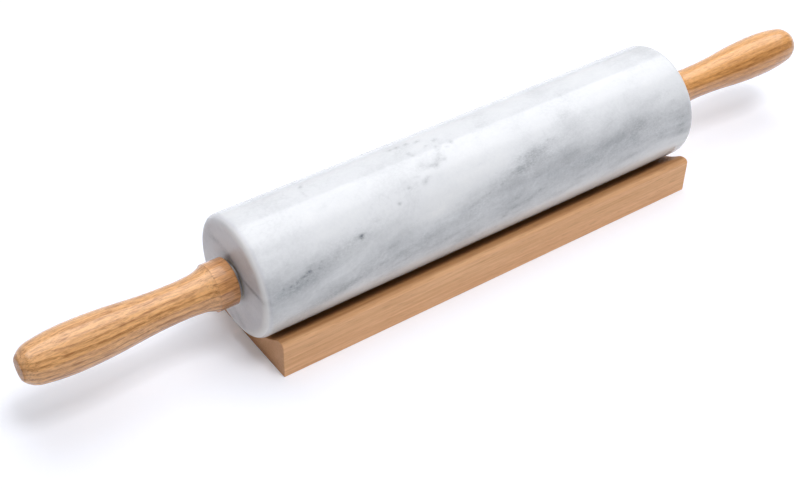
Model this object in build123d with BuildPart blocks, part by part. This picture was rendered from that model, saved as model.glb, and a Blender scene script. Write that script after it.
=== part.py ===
"""Marble rolling pin with turned wooden handles, lying in a one-piece wooden cradle.

Millimetres. X runs along the pin, Y across it and Z up. The origin is the middle of the
cradle's underside, which stands on the worktop.

The pin is a drilled marble barrel that turns on a steel rod. A nylon bearing sits in each end
of the bore. The rod's ends screw into brass inserts in the handles, so the rod, the washers,
the inserts and the handles stay still in the hands while the barrel rolls.
"""
import os

from build123d import *

os.makedirs("parts", exist_ok=True)

# Marble barrel
barrel_length = 254.0
barrel_diameter = 59.6
barrel_rim_round = 3.8

# Nylon bearings, pressed into the ends of the bore with their flanges let in flush
bore_diameter = 14.0
flange_diameter = 20.0
flange_thickness = 1.6
sleeve_length = 24.0
sleeve_lead = 0.8
bearing_clearance = 0.06

# Steel rod with a turned-down spigot at each end
rod_diameter = 9.5
spigot_diameter = 7.8
spigot_length = 24.0
spigot_chamfer = 0.9

# Steel washers between the handles and the bearings
washer_diameter = 18.0
washer_thickness = 1.6
washer_slack = 0.15
end_play = 0.4

# Brass inserts in the handles
insert_diameter = 12.0
insert_length = 20.0
insert_lead = 0.7

# Turned handles: the shoulder's and neck's places are measured from the collar's face
handle_length = 99.2
collar_diameter = 22.6
collar_length = 9.8
collar_face_chamfer = 0.6
shoulder_lip = 0.2
shoulder_place = 16.0
shoulder_diameter = 18.2
neck_place = 24.7
neck_diameter = 17.2
belly_to_end = 24.9
belly_diameter = 22.25
tip_to_end = 7.2
tip_diameter = 19.15
end_face_diameter = 10.4
end_face_dome = 0.35
hole_slack = 0.4
hole_overrun = 2.0

# Cradle: a plain block with a long cove for the barrel
cradle_length = 246.7
cradle_width = 62.6
cradle_height = 19.2
cove_radius = 40.0
cove_floor = 9.15
rail_round = 2.2
rail_round_most_share = 0.5
cove_edge_round = 6.6
cove_edge_round_most_share = 0.95
cradle_corner_round = 0.5
cradle_corner_most_share = 0.5
least_land = 1.0

# How the pin lies in the cradle
pin_shift = -2.4
rest_clearance = 0.2

# Reference lines and planes
axis_height = cove_floor + rest_clearance + barrel_diameter / 2
half_barrel = barrel_length / 2
face_gap = washer_thickness + end_play
end_dome_radius = ((end_face_diameter / 2) ** 2 + end_face_dome**2) / (2 * end_face_dome)
collar_reach = half_barrel + face_gap
pin_axis = Axis((pin_shift, 0, axis_height), (1, 0, 0))
pin_middle = Plane(origin=(pin_shift, 0, axis_height), x_dir=(0, 1, 0), z_dir=(1, 0, 0))
cradle_middle = Plane(origin=(0, 0, 0), x_dir=(0, 1, 0), z_dir=(1, 0, 0))
right_barrel_face = pin_middle.offset(half_barrel)
left_barrel_face = Plane(
    origin=(pin_shift - half_barrel, 0, axis_height), x_dir=(0, -1, 0), z_dir=(-1, 0, 0)
)
collar_face = pin_middle.offset(collar_reach)
collar_mouth = Plane(origin=collar_face.origin, x_dir=(0, -1, 0), z_dir=(-1, 0, 0))
handle_profile_plane = Plane(origin=collar_face.origin, x_dir=(1, 0, 0), z_dir=(0, -1, 0))

# Cradle's top: half the width of the cove's mouth, which narrows with a narrow block, the radius
# of its arc, the flat that is left beside it, and rounds that leave some of that flat between them
cove_depth = cradle_height - cove_floor
cove_mouth = min((cove_depth * (2 * cove_radius - cove_depth)) ** 0.5, cradle_width / 2 - least_land)
cove_arc_radius = (cove_mouth**2 + cove_depth**2) / (2 * cove_depth)
land_width = cradle_width / 2 - cove_mouth
outer_round = min(rail_round, rail_round_most_share * land_width)
inner_round_room = ((cradle_width / 2 - outer_round) ** 2 - cove_mouth**2) / (2 * cove_depth)
inner_round = min(cove_edge_round, cove_edge_round_most_share * inner_round_room)
corner_round = min(cradle_corner_round, cradle_corner_most_share * outer_round)

# Cradle: rectangular stock with the cove run through it, its long top edges rounded over
with BuildPart() as cradle_base:
    with BuildSketch(cradle_middle) as cradle_section:
        Rectangle(cradle_width, cradle_height, align=(Align.CENTER, Align.MIN))
        with Locations((0, cove_floor + cove_arc_radius)):
            Circle(cove_arc_radius, mode=Mode.SUBTRACT)
        top_corners = cradle_section.vertices().group_by(Axis.Y)[-1].sort_by(Axis.X)
        fillet([top_corners[0], top_corners[-1]], outer_round)
    extrude(amount=cradle_length / 2, both=True)
    cove_face = cradle_base.faces().filter_by(GeomType.CYLINDER).sort_by(SortBy.AREA)[-1]
    fillet(cove_face.edges().filter_by(Axis.X), inner_round)
    fillet(cradle_base.edges().filter_by(Axis.Z), corner_round)
cradle_base.part.label = "cradle_base"

# Marble barrel: a round bar with softened rims, bored through and counterbored at both ends
with BuildPart() as marble_barrel:
    with BuildSketch(pin_middle):
        Circle(barrel_diameter / 2)
    extrude(amount=half_barrel, both=True)
    fillet(marble_barrel.edges().filter_by(GeomType.CIRCLE), barrel_rim_round)
    with Locations(right_barrel_face, left_barrel_face):
        CounterBoreHole(
            radius=bore_diameter / 2,
            counter_bore_radius=flange_diameter / 2,
            counter_bore_depth=flange_thickness,
            depth=half_barrel,
        )
marble_barrel.part.label = "marble_barrel"

# Bearing: a flanged nylon sleeve, its inner end chamfered to lead into the bore
with BuildPart() as right_bushing:
    with BuildSketch(right_barrel_face):
        Circle(flange_diameter / 2)
    extrude(amount=-flange_thickness)
    with BuildSketch(right_barrel_face):
        Circle(bore_diameter / 2)
    extrude(amount=-sleeve_length)
    chamfer(right_bushing.faces().sort_by(Axis.X)[0].edges(), sleeve_lead)
    with Locations(right_barrel_face):
        Hole(rod_diameter / 2 + bearing_clearance, depth=sleeve_length)
right_bushing.part.label = "right_bushing"

with BuildPart() as left_bushing:
    mirror(right_bushing.part, about=pin_middle)
left_bushing.part.label = "left_bushing"

# Rod: the full diameter runs from collar to collar, and the spigots go on into the inserts
with BuildPart() as axle_rod:
    with BuildSketch(pin_middle):
        Circle(rod_diameter / 2)
    extrude(amount=collar_reach, both=True)
    with BuildSketch(pin_middle):
        Circle(spigot_diameter / 2)
    extrude(amount=collar_reach + spigot_length, both=True)
    rod_ends = axle_rod.faces().sort_by(Axis.X)
    chamfer([rod_ends[0].edges()[0], rod_ends[-1].edges()[0]], spigot_chamfer)
axle_rod.part.label = "axle_rod"

# Washer: lies flat on the collar's face and runs against the bearing's flange
with BuildPart() as right_washer:
    with BuildSketch(collar_face):
        Circle(washer_diameter / 2)
        Circle(rod_diameter / 2 + washer_slack, mode=Mode.SUBTRACT)
    extrude(amount=-washer_thickness)
right_washer.part.label = "right_washer"

with BuildPart() as left_washer:
    mirror(right_washer.part, about=pin_middle)
left_washer.part.label = "left_washer"

# Insert: a brass tube, flush with the collar's face and chamfered where it enters the wood
with BuildPart() as right_insert:
    with BuildSketch(collar_face):
        Circle(insert_diameter / 2)
    extrude(amount=insert_length)
    chamfer(right_insert.faces().sort_by(Axis.X)[-1].edges(), insert_lead)
    with Locations(collar_mouth):
        Hole(spigot_diameter / 2, depth=insert_length)
right_insert.part.label = "right_insert"

with BuildPart() as left_insert:
    mirror(right_insert.part, about=pin_middle)
left_insert.part.label = "left_insert"

# Handle: a cylindrical collar, a hollow shoulder, a slim neck, a swelling belly and a blunt end.
# Its outline is a chain of arcs, each tangent to the one before, through these points
shoulder_top = (collar_length, collar_diameter / 2 - shoulder_lip)
shoulder = (shoulder_place, shoulder_diameter / 2)
neck = (neck_place, neck_diameter / 2)
belly = (handle_length - belly_to_end, belly_diameter / 2)
halfway = ((neck[0] + belly[0]) / 2, (neck[1] + belly[1]) / 2)
tip = (handle_length - tip_to_end, tip_diameter / 2)
end_rim = (handle_length - end_face_dome, end_face_diameter / 2)
with BuildPart() as right_handle:
    with BuildSketch(handle_profile_plane):
        with BuildLine():
            Polyline(
                (0, 0),
                (0, collar_diameter / 2),
                (collar_length, collar_diameter / 2),
                shoulder_top,
            )
            neck_hollow = TangentArc(neck, shoulder, tangent=(-1, 0))
            TangentArc(shoulder, shoulder_top, tangent=neck_hollow % 1)
            neck_rise = TangentArc(neck, halfway, tangent=(1, 0))
            TangentArc(halfway, belly, tangent=neck_rise % 1)
            belly_fall = TangentArc(belly, tip, tangent=(1, 0))
            TangentArc(tip, end_rim, tangent=belly_fall % 1)
            RadiusArc(end_rim, (handle_length, 0), end_dome_radius)
            Line((handle_length, 0), (0, 0))
        make_face()
    revolve(axis=pin_axis)
    chamfer(right_handle.faces().sort_by(Axis.X)[0].edges(), collar_face_chamfer)
    with Locations(collar_mouth):
        CounterBoreHole(
            radius=(spigot_diameter + hole_slack) / 2,
            counter_bore_radius=insert_diameter / 2,
            counter_bore_depth=insert_length,
            depth=spigot_length + hole_overrun,
        )
right_handle.part.label = "right_handle"

with BuildPart() as left_handle:
    mirror(right_handle.part, about=pin_middle)
left_handle.part.label = "left_handle"

for piece in (
    cradle_base,
    marble_barrel,
    left_bushing,
    right_bushing,
    axle_rod,
    left_washer,
    right_washer,
    left_insert,
    right_insert,
    left_handle,
    right_handle,
):
    export_step(piece.part, "parts/" + piece.part.label + ".step")
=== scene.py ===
"""Looks of the marble rolling pin: stone, woods and metals, a white sweep and soft studio light.

Metres, except in the materials, which work in millimetres. X runs along the pin, Z is up, and the
cradle stands on z = 0.
"""

import math

import bpy
from mathutils import Matrix, Vector

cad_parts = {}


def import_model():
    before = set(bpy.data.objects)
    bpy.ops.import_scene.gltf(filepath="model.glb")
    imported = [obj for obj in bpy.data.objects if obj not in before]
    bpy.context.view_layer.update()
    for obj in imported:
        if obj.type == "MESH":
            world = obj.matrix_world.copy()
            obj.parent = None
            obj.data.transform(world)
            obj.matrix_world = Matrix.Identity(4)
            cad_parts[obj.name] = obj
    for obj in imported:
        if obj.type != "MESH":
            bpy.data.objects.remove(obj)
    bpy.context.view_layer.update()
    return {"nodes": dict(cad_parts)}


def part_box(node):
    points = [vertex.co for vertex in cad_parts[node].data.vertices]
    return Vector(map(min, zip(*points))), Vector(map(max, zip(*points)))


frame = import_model()
nodes = frame["nodes"]

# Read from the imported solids: the pin's axis, in metres, and sizes in millimetres
MM = 1000.0
low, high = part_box("marble_barrel")
AXIS_X = (low[0] + high[0]) / 2
AXIS_Z = (low[2] + high[2]) / 2
BARREL_HALF = (high[0] - low[0]) / 2 * MM
BARREL_RADIUS = (high[2] - low[2]) / 2 * MM
HANDLE_END = (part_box("right_handle")[1][0] - AXIS_X) * MM
CRADLE_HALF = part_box("cradle_base")[1][0] * MM

# How far the stone's layers rise towards +X, in mm for each mm
LAYER_RISE = 0.145
# How far a mark fades out, in its own half lengths and widths
MARK_SPREAD = 1.5

# Paper of the floor, as it lights the object and as it is seen
PAPER_LIGHTING = (0.86, 0.86, 0.86)
PAPER_SEEN = (0.880, 0.905, 0.985)
# Light that the world gives, and how bright its front and back are in a polish
WORLD_LIGHT = 0.10
FRONT_WALL = 0.30
BACK_WALL = 0.85
# Height that the lamps face
LAMP_AIM = 0.04

# Camera fitted to the outlines in the photograph: width and focal length in pixels, angles in radians
PHOTO_WIDTH = 808
FOCAL_LENGTH = 1408.379
SENSOR_WIDTH = 36.0
CAMERA_PLACE = (-0.34628, -0.417908, 0.453846)
CAMERA_YAW, CAMERA_PITCH, CAMERA_ROLL = 0.639790, 0.701306, -0.030673
CAMERA_SHIFT = (-0.000716, 0.000432)


class Net:
    """The node tree of a material or a world, built from short expressions."""

    def __init__(self, owner, output="OutputMaterial"):
        owner.use_nodes = True
        self.owner = owner
        self.tree = owner.node_tree
        self.tree.nodes.clear()
        self.out = self.node(output)

    def put(self, socket, value):
        if isinstance(value, bpy.types.NodeSocket):
            self.tree.links.new(value, socket)
        elif value is not None:
            if isinstance(value, (tuple, list)) and socket.type == "RGBA" and len(value) == 3:
                value = (*value, 1.0)
            socket.default_value = value

    def node(self, kind, inputs=(), **settings):
        made = self.tree.nodes.new("ShaderNode" + kind)
        for key, value in settings.items():
            setattr(made, key, value)
        for key, value in dict(inputs).items():
            self.put(made.inputs[key], value)
        return made

    def math(self, operation, a, b=None, c=None):
        made = self.node("Math", operation=operation)
        for socket, value in zip(made.inputs, (a, b, c)):
            self.put(socket, value)
        return made.outputs[0]

    def add(self, a, b):
        return self.math("ADD", a, b)

    def sub(self, a, b):
        return self.math("SUBTRACT", a, b)

    def mul(self, a, b):
        return self.math("MULTIPLY", a, b)

    def most(self, a, b):
        return self.math("MAXIMUM", a, b)

    def size(self, value):
        return self.math("ABSOLUTE", value)

    def clip(self, value, least, most):
        return self.math("MINIMUM", self.most(value, least), most)

    def weigh(self, total, *terms):
        """Add values to a total, each times its own weight."""
        for value, weight in terms:
            total = self.math("MULTIPLY_ADD", value, weight, total)
        return total

    def reach(self, a, b):
        """Distance of a point from the origin of its two coordinates."""
        return self.math("SQRT", self.add(self.mul(a, a), self.mul(b, b)))

    def toward(self, y, z, turn):
        """How far a point lies towards a direction, in degrees round the pin from +Z towards -Y."""
        angle = math.radians(turn)
        return self.add(self.mul(y, -math.sin(angle)), self.mul(z, math.cos(angle)))

    def step(self, value, start, end, to_low=0.0, to_high=1.0):
        """Smooth step from one level, at start, to another, at end."""
        made = self.node(
            "MapRange", {0: value, 1: start, 2: end, 3: to_low, 4: to_high}, interpolation_type="SMOOTHSTEP"
        )
        return made.outputs[0]

    def mix(self, factor, a, b, blend="MIX"):
        made = self.node("Mix", data_type="RGBA", blend_type=blend)
        self.put(made.inputs[0], factor)
        self.put(made.inputs[6], a)
        self.put(made.inputs[7], b)
        return made.outputs[2]

    def stain(self, mask, color, tint):
        """Multiply a colour by a tint where the mask is 1."""
        return self.mix(mask, color, tint, "MULTIPLY")

    def vector(self, x, y, z):
        return self.node("CombineXYZ", {0: x, 1: y, 2: z}).outputs[0]

    def noise(self, where, scale, detail=3.0, rough=0.5, distortion=0.0):
        inputs = {
            "Vector": where, "Scale": scale, "Detail": detail, "Roughness": rough, "Distortion": distortion
        }
        return self.node("TexNoise", inputs).outputs[0]

    def swing(self, *noise):
        """Noise that swings about 0."""
        return self.sub(self.noise(*noise), 0.5)

    def grain(self, place, along, across, detail=2.0, rough=0.5):
        """Noise drawn out along X, from its scales along and across, per mm."""
        x, y, z = place
        drawn = self.vector(self.mul(x, along), self.mul(y, across), self.mul(z, across))
        return self.noise(drawn, 1.0, detail, rough)

    def place(self, about_axis=True):
        """Object coordinates in millimetres, with the pin's axis as their origin if asked."""
        where = self.node("SeparateXYZ", {0: self.node("TexCoord").outputs["Object"]}).outputs
        shift_x, shift_z = (AXIS_X, AXIS_Z) if about_axis else (0.0, 0.0)
        x = self.mul(self.sub(where[0], shift_x), MM)
        y = self.mul(where[1], MM)
        z = self.mul(self.sub(where[2], shift_z), MM)
        return x, y, z

    def bump(self, height, depth):
        """A normal for relief of a depth in mm."""
        return self.node("Bump", {"Strength": 1.0, "Distance": depth / MM, "Height": height}).outputs[0]

    def shade(self, color, roughness, normal, **inputs):
        shader = self.node("BsdfPrincipled", {"Base Color": color, "Roughness": roughness, "Normal": normal})
        for key, value in inputs.items():
            self.put(shader.inputs[key.replace("_", " ")], value)
        self.put(self.out.inputs[0], shader.outputs[0])
        return self.owner


# Marks in the stone that can be told apart, as soft ellipses on the barrel's side: place along the bar in
# mm, place round it in degrees from the top towards -Y, half length and half width in mm, rise towards +X
# in degrees, and how much they darken the stone (less than zero makes it paler)
SIDE_MARKS = (
    # Speckled streak near the left end, with its darkest dot
    (-111, 74, 15, 4.6, 9, 0.23), (-121, 76, 6, 2.6, 6, 0.10), (-117.5, 71, 1.3, 1.1, 0, 0.23),
    (-114, 71.5, 1.8, 1.0, 10, 0.27), (-110.5, 70, 2.4, 1.0, 14, 0.27), (-107, 68, 2.6, 0.9, 18, 0.29),
    (-104, 65.6, 1.9, 1.4, 8, 0.48), (-103, 62, 3.2, 1.4, 12, 0.18), (-98.5, 65.5, 1.6, 1.3, 10, 0.19),
    (-97, 61.5, 1.1, 1.0, 0, 0.19), (-113, 52, 2.4, 2.0, 0, 0.13),
    # Round dot in a soft grey patch
    (-74.8, 55.6, 1.6, 1.6, 0, 0.66), (-76.5, 55.2, 3.2, 1.6, 4, 0.10), (-73.0, 54.4, 2.6, 1.4, 18, 0.10),
    (-75.5, 55.5, 10, 4.0, 8, 0.17), (-65.5, 48, 4.0, 2.4, 8, 0.12), (-60, 75, 7, 2.0, 5, 0.14),
    # Small dots higher up the same layer
    (-51.3, 42.5, 1.4, 1.2, 0, 0.45), (-43.3, 33, 1.6, 1.3, 0, 0.35), (-34.6, 34, 2.4, 1.6, 15, 0.29),
    (-32.6, 31, 2.6, 1.4, 20, 0.20), (-37, 26.5, 2.2, 0.8, -12, 0.16),
    # Ring of dots on the top, and a few dots to the left of it
    (-37.4, -15.4, 2.4, 1.9, 30, 0.28), (-33.7, -15, 2.4, 2.1, 20, 0.35), (-28.4, -14.6, 2.4, 1.7, 40, 0.33),
    (-23.2, -11.6, 3.2, 1.9, 20, 0.29), (-16.2, -3.8, 2.6, 1.9, 30, 0.33), (-10.5, 6.8, 1.7, 1.9, 0, 0.33),
    (-32.6, 0.5, 1.7, 1.8, 60, 0.29), (-31.7, 4.6, 1.6, 1.1, 0, 0.28), (-22.2, -0.4, 1.7, 1.1, 10, 0.23),
    (-18.6, 5.4, 1.5, 1.2, 20, 0.23), (-14, 10, 1.8, 1.2, 0, 0.16), (-27.5, 21.6, 3.6, 1.6, 0, 0.27),
    (-24.8, 23.6, 2.6, 1.8, 15, 0.29), (-22.8, 19, 3.6, 2.4, 20, 0.24), (-19.6, 21.2, 2.0, 1.5, 30, 0.27),
    (-20, 13, 4.5, 3.0, 50, 0.20), (-31.5, 18.5, 3.6, 2.4, 10, 0.16), (-35.5, -6, 4.5, 3.0, 50, 0.14),
    (-86.3, -14.2, 2.6, 1.3, 48, 0.30), (-88.4, -2, 1.4, 3.5, 0, 0.14), (-86, -27, 1.6, 3.0, 0, 0.14),
    # Line that rises to the broad speckled streak, and the streak
    (-17, 71.4, 6, 1.1, 12, 0.12), (-9.5, 67.2, 6, 1.2, 14, 0.13), (-4.5, 65.6, 4, 1.2, 8, 0.14),
    (3, 62.4, 2.4, 1.4, 5, 0.15), (6.5, 59.5, 4, 1.0, 20, 0.12), (10.4, 57.2, 1.9, 1.5, 20, 0.14),
    (14.6, 55.6, 2.4, 2.1, 20, 0.16), (20.6, 48.9, 5.6, 2.1, 8, 0.15), (25.6, 46.4, 4.6, 2.6, 24, 0.15),
    (22, 51.5, 15, 6.5, 14, 0.14), (15, 57.5, 4.5, 2.4, 10, 0.13), (28, 51, 6.5, 3.4, 12, 0.12),
    (21, 55.6, 5, 1.4, 6, 0.13), (35.4, 42, 1.9, 1.3, 10, 0.16), (32.5, 46.4, 5.5, 2.4, 12, 0.13),
    (38.4, 43, 3.6, 2.2, 10, 0.11), (30.8, 57, 7, 1.1, 3, 0.12), (41, 55.8, 8, 1.8, 4, 0.11),
    (16, 47, 7, 1.6, 10, 0.11), (32, 72.4, 4.5, 1.4, 4, 0.11), (25, 69, 9, 2.4, 6, 0.07),
    # Faint layers low on the side
    (-81, 93, 10, 1.8, 13, 0.24), (-67, 87.6, 4.5, 1.4, 8, 0.24), (-56, 86, 11, 2.6, 8, 0.14),
    (-40, 82.5, 10, 3.0, 8, 0.12), (9.5, 91, 6, 1.8, 4, 0.24), (3, 96.6, 3.2, 1.8, 20, 0.23),
    (17, 89.5, 5, 1.6, 12, 0.22), (24, 85, 7, 2.0, 14, 0.20), (10, 81.5, 6, 2.0, 6, 0.18),
    (-22, 103, 14, 5.0, 8, 0.16), (-104, 106, 22, 6.0, 10, 0.20), (-60, 104, 20, 5.0, 10, 0.16),
    # Grey bands along the lower side
    (-88, 98, 26, 2.2, 9, 0.16), (-30, 92, 24, 2.0, 8, 0.15), (40, 98, 26, 2.4, 7, 0.16),
    (84, 92, 22, 2.0, 6, 0.14), (-58, 96, 18, 1.2, 10, 0.16), (58, 88, 16, 1.4, 8, 0.13),
    (0, 108, 40, 3.0, 6, 0.14), (90, 104, 24, 2.6, 8, 0.15),
    # Broad grey zones in which the streaks lie, and one paler patch among them
    (20, 54, 34, 10, 15, 0.14), (90, 68, 46, 13, 2, 0.12), (60, 76, 40, 9, 8, 0.09),
    (-92, 62, 38, 9, 10, 0.10), (-40, 78, 34, 7, 8, 0.08), (-104, 76, 20, 5, 8, 0.10),
    (46, 44, 24, 5, 16, 0.10), (104, 46, 22, 5, 4, 0.06), (-72, 82, 15, 6, 8, 0.11),
    (-12, 74, 14, 6, 8, 0.10), (-90, 98, 16, 6, 6, 0.08), (30, 34, 12, 6, 10, -0.05),
    # Soft grey clouds
    (-4.5, 37.6, 8, 2.0, 6, 0.13), (-16, 37.6, 7, 2.2, 0, 0.09), (2, 19, 4.5, 9, 0, 0.13),
    (3, 29, 8, 2.6, 4, 0.08), (14, -17, 9, 5.5, 10, 0.14), (4, -18, 8, 5.5, 10, 0.10),
    (6, 3, 6, 5, 0, 0.10), (51, 26, 9, 3.0, 16, 0.14), (57, 5, 5, 8, 0, 0.10), (50, -15, 6, 8, 0, 0.09),
    (118, -10, 8, 9, 0, 0.10), (88, 55, 14, 4.5, -14, 0.13), (-30, -9, 9, 5, 20, 0.10),
    (12, 1, 9, 9, 0, 0.07), (91, 63, 6, 2.6, 8, 0.18),
    (73, 50, 7, 2.4, 8, 0.12), (99, 72, 6, 3.2, 10, 0.12), (86, 74, 6, 2.4, -20, 0.12),
    (104, 84, 7, 5, 30, 0.16), (118, 73, 7, 2.2, 0, 0.20), (117.5, 81, 6, 2.0, 4, 0.24),
    (118, 88.5, 8, 3.2, -6, 0.23), (90, 81, 16, 3.0, -4, 0.13), (57, 78, 9, 3.4, 0, 0.12),
    (45, 62, 8, 4, 0, 0.08), (113.5, 54, 4, 2.2, 0, 0.12), (76, 42, 12, 2.6, 2, 0.07),
    # Paler wedges between the layers
    (-34, 63, 27, 7.5, 6, -0.30), (-72, 66, 22, 3.5, 8, -0.11), (-97, 82, 30, 5.5, 10, -0.20),
    (-112, 63, 12, 2.6, 10, -0.12), (-92, 43, 16, 4.5, 20, -0.08), (70, 60, 14, 3.2, 4, -0.08),
    (90, 54, 15, 5, 0, -0.13), (96, 64.5, 4.5, 2.6, 10, -0.14), (98, 100, 46, 8.5, 4, -0.22),
    (52, 97, 30, 7, 10, -0.12), (-110, 97, 16, 5, 10, -0.08), (73, 71, 6, 4, 0, -0.08),
)
# Marks on the left end face: y and height above the axis in mm, half length and half width in mm, fall
# towards -Y in degrees, and how much they darken the stone
END_MARKS = (
    (14, 12.6, 9, 2.6, -14, 0.34), (5, 11.4, 6, 3.2, 0, 0.30), (-3, 8.6, 9, 1.2, 36, 0.42),
    (-13, 5.8, 9, 1.5, 2, 0.52), (-21, 5.6, 7, 1.6, -3, 0.58), (-26.8, 5.0, 2.8, 2.2, 0, 0.62),
    (-2, -20, 9, 4, 20, 0.20), (3, -24, 4, 2, 0, 0.34), (-8, -24, 8, 2.4, 30, 0.16),
    (20, 14, 8, 7, 0, 0.10), (-14, -10, 11, 8, 0, 0.10), (-18, 16, 8, 5, 0, -0.05),
    (24, -4, 6, 12, 0, -0.05),
)


def marked(net, u, v, marks):
    """Sum of soft ellipses, laid on a chart of two lengths in mm."""
    chart = net.vector(u, v, 0.0)
    total = 0.0
    for place_u, place_v, half_u, half_v, turn, weight in marks:
        laid = net.node("Mapping", {
            "Vector": chart,
            "Location": (place_u, place_v, 0.0),
            "Rotation": (0.0, 0.0, math.radians(turn)),
            "Scale": (MARK_SPREAD * half_u, MARK_SPREAD * half_v, 1.0),
        }, vector_type="TEXTURE")
        spot = net.node("TexGradient", {"Vector": laid.outputs[0]}, gradient_type="QUADRATIC_SPHERE")
        total = net.weigh(total, (spot.outputs[1], weight))
    return total


def marble():
    """Stone with slanting grey layers and the marks above, polished all round and honed on its ends."""
    net = Net(bpy.data.materials.new("marble"))
    x, y, z = net.place()
    where = net.vector(x, y, z)
    drawn = net.vector(net.mul(x, 0.6), y, z)

    # Layers that rise along the bar and swell gently, thinner than they are long
    swell = net.mul(net.swing(where, 0.022, 2.0), 16.0)
    depth = net.add(net.sub(z, net.mul(x, LAYER_RISE)), swell)
    layers = net.vector(net.mul(x, 0.30), net.mul(y, 0.45), depth)
    bands = net.swing(layers, 0.055, 3.0, 0.5)
    threads = net.swing(layers, 0.24, 5.0, 0.62, 0.5)
    cloud = net.swing(where, 0.035, 3.0, 0.5)
    mottle = net.swing(where, 0.55, 4.0, 0.65)
    grains = net.swing(drawn, 1.3, 3.0, 0.7)

    # The front, towards -Y, is painted greyer: partly the stone's own greyer layers, cut edge-on, and partly
    # painted shade; it is also more mottled than the top
    front_shade_and_mottle = net.step(net.toward(y, z, 80), 0.86 * BARREL_RADIUS, 0.99 * BARREL_RADIUS)

    # Thin broken veins along the layers
    ridge = net.size(net.sub(net.noise(layers, 0.075, 4.0, 0.5, 0.6), 0.47))
    broken = net.step(net.noise(where, 0.05, 2.0), 0.45, 0.62)
    veins = net.mul(net.step(ridge, 0.020, 0.0), broken)

    # Speckled clusters on the sides that the marks leave plain
    away = net.step(net.toward(y, z, 39.7), 0.25 * BARREL_RADIUS, -0.15 * BARREL_RADIUS)
    zone = net.step(net.noise(layers, 0.045, 2.0), 0.53, 0.66)
    specks = net.step(net.noise(drawn, 0.42, 3.0, 0.6), 0.56, 0.72)

    # Marks on the side and on the left end face
    around = net.mul(net.math("ARCTAN2", net.mul(y, -1.0), z), BARREL_RADIUS)
    side = marked(net, x, around, [
        (along, math.radians(turn) * BARREL_RADIUS, length, width, -rise, weight)
        for along, turn, length, width, rise, weight in SIDE_MARKS
    ])
    end = marked(net, y, z, END_MARKS)
    on_left_end = net.step(net.add(x, BARREL_HALF), 4.6, 3.0)
    marks = net.add(net.mul(side, net.sub(1.0, on_left_end)), net.mul(end, on_left_end))

    # Painted shade: the front term greys the side that faces -Y
    dark = net.weigh(
        0.0, (bands, 0.45), (threads, net.weigh(0.24, (front_shade_and_mottle, 0.14))), (cloud, 0.35),
        (grains, net.weigh(0.10, (front_shade_and_mottle, 0.10))), (front_shade_and_mottle, 0.25), (mottle, 0.24), (veins, 0.05),
        (net.mul(away, zone), net.weigh(0.10, (specks, 0.55))),
        (marks, net.most(net.weigh(1.0, (grains, 2.2)), 0.0)),
    )
    color = net.mix(net.clip(dark, 0.0, 0.9), (0.745, 0.762, 0.800), (0.120, 0.140, 0.170))
    color = net.mix(net.clip(net.mul(dark, -1.6), 0.0, 1.0), color, (0.93, 0.94, 0.95))

    # The sawn ends are a little darker, and their rounded rims are painted paler as a painted highlight,
    # strongest towards -Y
    from_end = net.sub(BARREL_HALF, net.size(x))
    color = net.stain(net.step(from_end, 3.4, 1.6), color, (0.97, 0.96, 0.99))
    from_side = net.sub(BARREL_RADIUS, net.reach(y, z))
    rim_highlight = net.mul(net.step(from_end, 2.4, 0.9), net.step(from_side, 5.8, 2.2))
    # Painted highlight on the rims, weighted towards -Y where they catch the light
    rim_highlight = net.mul(rim_highlight, net.step(y, 16.0, -12.0, 0.15, 0.68))
    color = net.mix(rim_highlight, color, (0.93, 0.93, 0.94))

    haze = net.noise(where, 0.25, 3.0)
    roughness = net.weigh(0.07, (haze, 0.07), (net.step(from_end, 2.6, 0.6), 0.24))
    return net.shade(color, roughness, net.bump(grains, 0.010), IOR=1.52)


def grown(net, place, lean, pith, spacing, wander):
    """Growth layers and fibres of a board: late wood, pores, fibres and broad figure, each from 0 to 1.

    The layers' outward direction leans by an angle from +Z towards -Y, and the pith lies that far in mm
    on the other side of the origin. The layers are spaced in mm, and wander by up to so many mm.
    """
    y, z = place[1:]
    drift = net.grain(place, 0.014, 0.03, 3.0, 0.45)
    reach = net.reach(net.add(net.toward(y, z, lean), pith), net.toward(y, z, lean - 90))
    phase = net.math("FRACT", net.math("DIVIDE", net.weigh(reach, (drift, wander)), spacing))
    late = net.mul(net.step(phase, 0.30, 0.86), net.step(phase, 1.0, 0.90))
    pores = net.step(net.grain(place, 0.11, 2.1, 2.0, 0.6), 0.57, 0.70)
    fibres = net.grain(place, 0.22, 5.5, 2.0, 0.6)
    figure = net.grain(place, 0.02, 0.16, 3.0, 0.5)
    return late, pores, fibres, figure


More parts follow.
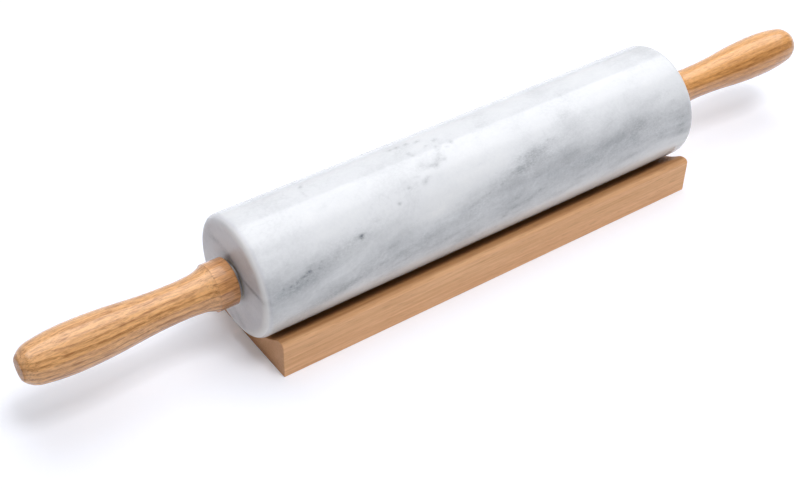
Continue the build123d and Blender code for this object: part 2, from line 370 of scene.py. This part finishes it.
def handle_wood(name, lean, seed, contrast, shaded_side, side_shade_depth, light, dark):
    """Open-grained wood under a glossy lacquer: broken streaks, short flecks and faint growth layers."""
    net = Net(bpy.data.materials.new(name))
    x, y, z = net.place()
    along = net.add(x, seed)
    late, pores, fibres, figure = grown(net, (along, y, z), lean, pith=30.0, spacing=2.5, wander=9.0)
    sway = net.grain((along, y, z), 0.045, 0.08)
    swayed = (along, net.weigh(y, (sway, 4.0)), net.weigh(z, (sway, -3.0)))
    streaks = net.grain(swayed, 0.045, 1.00, 4.0, 0.60)
    flecks = net.grain(swayed, 0.28, 1.25, 3.0, 0.6)

    # One side of each handle, towards the given turn round the pin, is painted darker as painted shade, and
    # its growth layers show as long thin lines
    shaded_layered_side = net.step(net.toward(y, z, shaded_side), 2.0, 8.0)
    tone = net.weigh(
        0.34, (net.sub(streaks, 0.5), 2.1), (net.sub(flecks, 0.5), 1.5),
        (net.sub(late, 0.3), net.weigh(0.14, (shaded_layered_side, 0.36))),
        (net.sub(figure, 0.5), 0.9), (net.sub(fibres, 0.5), 0.7),
    )
    middle = 0.33
    tone = net.clip(net.weigh(middle, (net.sub(tone, middle), contrast)), 0.0, 1.0)
    color = net.mix(tone, light, dark)
    color = net.mix(net.mul(pores, 0.45 * contrast), color, tuple(0.55 * channel for channel in dark))

    # The collars, next to the stone's ends, are painted darker: painted shade cast by the barrel
    from_middle = net.size(x)
    collar_shade = net.step(net.sub(from_middle, BARREL_HALF), 15.0, 8.0)
    color = net.stain(collar_shade, color, (0.74, 0.67, 0.61))
    # Painted shade on that side, deepest on the right handle
    color = net.stain(net.mul(shaded_layered_side, side_shade_depth), color, (0.80, 0.74, 0.64))
    # The end grain has drunk the lacquer: darker and duller
    tip = net.step(net.sub(HANDLE_END, from_middle), 1.6, 0.5)
    color = net.stain(tip, color, (0.80, 0.74, 0.68))

    relief = net.weigh(0.4, (flecks, 0.6), (pores, -0.4))
    lacquer = net.weigh(1.0, (tip, -0.75))
    return net.shade(
        color, 0.42, net.bump(relief, 0.05), Specular_IOR_Level=0.15,
        Coat_Weight=lacquer, Coat_Roughness=0.09, Coat_IOR=1.6, Coat_Normal=net.bump(relief, 0.008),
    )


def cradle_wood():
    """Fine straight-grained wood with a thin matt finish."""
    net = Net(bpy.data.materials.new("cradle_wood"))
    x, y, z = net.place(False)
    late, pores, fibres, figure = grown(net, (x, y, z), 24.0, pith=60.0, spacing=2.1, wander=7.0)
    lines = net.grain((x, y, z), 0.018, 0.95, 3.0, 0.6)
    tone = net.weigh(
        0.33, (late, 0.12), (net.sub(figure, 0.5), 0.7),
        (net.sub(lines, 0.5), 1.5), (net.sub(fibres, 0.5), 0.8),
    )
    color = net.mix(net.clip(tone, 0.0, 1.0), (0.925, 0.555, 0.312), (0.655, 0.328, 0.150))
    color = net.mix(net.mul(pores, 0.34), color, (0.42, 0.19, 0.09))

    # The cove and the land beside it, under the overhanging stone, are painted darker as painted shade, and
    # the ends, cut across the fibres, are darker than the sides
    cut = net.step(net.sub(CRADLE_HALF, net.size(x)), 0.35, 0.05)
    cove_shade = net.mul(net.step(net.size(y), 31.8, 28.4), net.step(z, 8.0, 9.0))
    color = net.stain(net.mul(cove_shade, net.sub(1.0, cut)), color, (0.56, 0.49, 0.38))
    color = net.mix(net.mul(cut, 0.42), color, (0.45, 0.23, 0.125))

    sunk = net.weigh(1.0, (pores, -0.6), (late, -0.4))
    roughness = net.weigh(0.46, (fibres, 0.12))
    return net.shade(color, roughness, net.bump(sunk, 0.03), IOR=1.45, Specular_IOR_Level=0.35)


def metal(name, color, roughness, scuff):
    """Turned metal: fine rings round the pin's axis, with a few duller patches."""
    net = Net(bpy.data.materials.new(name))
    x, y, z = net.place()
    rings = net.noise(net.vector(net.mul(x, 3.0), net.mul(net.reach(y, z), 3.0), 0.0), 1.0, 2.0, 0.6)
    dull = net.step(net.noise(net.vector(x, y, z), 0.30, 3.0, 0.6), 0.45, 0.70)
    tint = net.mix(net.mul(dull, scuff), color, tuple(0.55 * channel for channel in color))
    return net.shade(tint, net.weigh(roughness, (dull, 0.15)), net.bump(rings, 0.010), Metallic=1.0)


def nylon():
    """Moulded nylon: a faint cloudy cast and a fine matt skin."""
    net = Net(bpy.data.materials.new("nylon"))
    where = net.vector(*net.place())
    cast = net.noise(where, 0.4, 3.0, 0.5)
    skin = net.noise(where, 4.0, 2.0, 0.5)
    return net.shade(net.mix(cast, (0.78, 0.77, 0.72), (0.87, 0.86, 0.83)), 0.42, net.bump(skin, 0.008))


def dress(material, *names):
    """Give CAD nodes a material."""
    for name in names:
        slots = nodes[name].data.materials
        if slots:
            slots[0] = material
        else:
            slots.append(material)


def floor():
    net = Net(bpy.data.materials.new("paper_floor"))
    path = net.node("LightPath").outputs
    bare = net.most(path["Is Camera Ray"], path["Is Transmission Ray"])
    color = net.mix(net.most(bare, path["Is Glossy Ray"]), PAPER_LIGHTING, PAPER_SEEN)
    # In a polish, the paper fades towards the front of the studio
    where = net.node("SeparateXYZ", {0: net.node("TexCoord").outputs["Object"]}).outputs
    fade = net.mul(path["Is Glossy Ray"], net.step(where[1], -0.20, -0.60))
    color = net.mix(fade, color, (0.25, 0.25, 0.26))
    paper = net.node("BsdfDiffuse", {"Color": color})
    # Away from the object the lamps fall off, and the paper is kept white where it is seen
    far = net.step(net.reach(where[0], where[1]), 0.40, 1.30, 0.13, 1.0)
    glow = net.node("Emission", {"Color": (0.95, 0.97, 1.0), "Strength": net.mul(bare, far)})
    both = net.node("AddShader", {0: paper.outputs[0], 1: glow.outputs[0]})
    net.put(net.out.inputs[0], both.outputs[0])

    half = 6.0
    mesh = bpy.data.meshes.new("studio_floor")
    corners = [(-half, -half, 0), (half, -half, 0), (half, half, 0), (-half, half, 0)]
    mesh.from_pydata(corners, [], [(0, 1, 2, 3)])
    mesh.materials.append(net.owner)
    sheet = bpy.data.objects.new("studio_floor", mesh)
    sheet.location = (0, 0, -0.0001)
    bpy.context.scene.collection.objects.link(sheet)


def world():
    """Dim for the light it gives, white where it is seen, and darker in a polish towards the front."""
    sky = bpy.data.worlds.new("studio")
    bpy.context.scene.world = sky
    net = Net(sky, "OutputWorld")
    path = net.node("LightPath").outputs
    bare = net.most(path["Is Camera Ray"], path["Is Transmission Ray"])
    where = net.node("SeparateXYZ", {0: net.node("TexCoord").outputs["Generated"]}).outputs
    walls = net.step(where[1], -0.30, 0.20, FRONT_WALL, BACK_WALL)
    seen = net.most(bare, net.mul(path["Is Glossy Ray"], walls))
    light = net.node("Background", {"Color": (1.0, 1.0, 1.0), "Strength": net.most(seen, WORLD_LIGHT)})
    net.put(net.out.inputs[0], light.outputs[0])


def lamp_over(name, start, end, reach, middle, length, radiance, shiny=True, matt=True):
    """A long lamp facing the pin that spans two angles, in degrees from overhead towards -Y.

    Its reach is its distance, and its middle and length are along X.
    """
    lean = math.radians((start + end) / 2)
    width = 2 * reach * math.tan(math.radians((end - start) / 2))
    lamp = bpy.data.lights.new(name, "AREA")
    lamp.shape = "RECTANGLE"
    lamp.size, lamp.size_y = length, width
    lamp.energy = math.pi * length * width * radiance
    outward = Vector((0.0, -math.sin(lean), math.cos(lean)))
    holder = bpy.data.objects.new(name, lamp)
    holder.location = Vector((middle, 0.0, LAMP_AIM)) + reach * outward
    holder.rotation_mode = "QUATERNION"
    holder.rotation_quaternion = (-outward).to_track_quat("-Z", "Y")
    holder.visible_glossy = shiny
    holder.visible_diffuse = matt
    bpy.context.scene.collection.objects.link(holder)


def camera():
    forward = Vector((
        math.sin(CAMERA_YAW) * math.cos(CAMERA_PITCH),
        math.cos(CAMERA_YAW) * math.cos(CAMERA_PITCH),
        -math.sin(CAMERA_PITCH),
    ))
    level = Vector((math.cos(CAMERA_YAW), -math.sin(CAMERA_YAW), 0.0))
    plumb = forward.cross(level)
    right = math.cos(CAMERA_ROLL) * level + math.sin(CAMERA_ROLL) * plumb
    down = math.cos(CAMERA_ROLL) * plumb - math.sin(CAMERA_ROLL) * level
    lens = bpy.data.cameras.new("camera")
    lens.sensor_width = SENSOR_WIDTH
    lens.lens = FOCAL_LENGTH * SENSOR_WIDTH / PHOTO_WIDTH
    lens.shift_x, lens.shift_y = CAMERA_SHIFT
    holder = bpy.data.objects.new("camera", lens)
    turn = Matrix((right, -down, -forward)).transposed()
    holder.matrix_world = Matrix.Translation(CAMERA_PLACE) @ turn.to_4x4()
    bpy.context.scene.collection.objects.link(holder)
    bpy.context.scene.camera = holder


dress(marble(), "marble_barrel")
dress(handle_wood(
    "left_handle_wood", lean=-32.0, seed=400.0, contrast=0.95, shaded_side=80.0, side_shade_depth=0.10,
    light=(0.87, 0.465, 0.190), dark=(0.38, 0.155, 0.045),
), "left_handle")
dress(handle_wood(
    "right_handle_wood", lean=-50.0, seed=900.0, contrast=0.62, shaded_side=105.0, side_shade_depth=1.0,
    light=(0.90, 0.450, 0.145), dark=(0.38, 0.145, 0.030),
), "right_handle")
dress(cradle_wood(), "cradle_base")
dress(metal("rod_steel", (0.62, 0.62, 0.63), 0.22, 0.3), "axle_rod")
dress(metal("washer_steel", (0.40, 0.40, 0.41), 0.30, 0.6), "left_washer", "right_washer")
dress(metal("insert_brass", (0.78, 0.60, 0.30), 0.25, 0.3), "left_insert", "right_insert")
dress(nylon(), "left_bushing", "right_bushing")

floor()
world()
# Overhead softbox, whose reflection is the pale band along the stone, and its dimmer front part
lamp_over("overhead", -34, 14, 0.8, 0.3, 2.4, 1.85, matt=False)
lamp_over("overhead_front", 14, 45, 0.8, 0.3, 2.4, 0.6, matt=False)
# Lamps that shape the light and the shadows and don't show in the polish
lamp_over("top", -35, 17, 2.0, 0.37, 1.58, 2.75, shiny=False)
lamp_over("top_front", 17, 50, 2.0, 0.37, 1.58, 0.85, shiny=False)
lamp_over("key", 13, 29, 2.0, 0.05, 0.7, 12.5, shiny=False)
lamp_over("back_fill", -70, -35, 2.0, 0.2, 1.9, 1.2, shiny=False)
camera()
bpy.context.scene.view_settings.view_transform = "Standard"
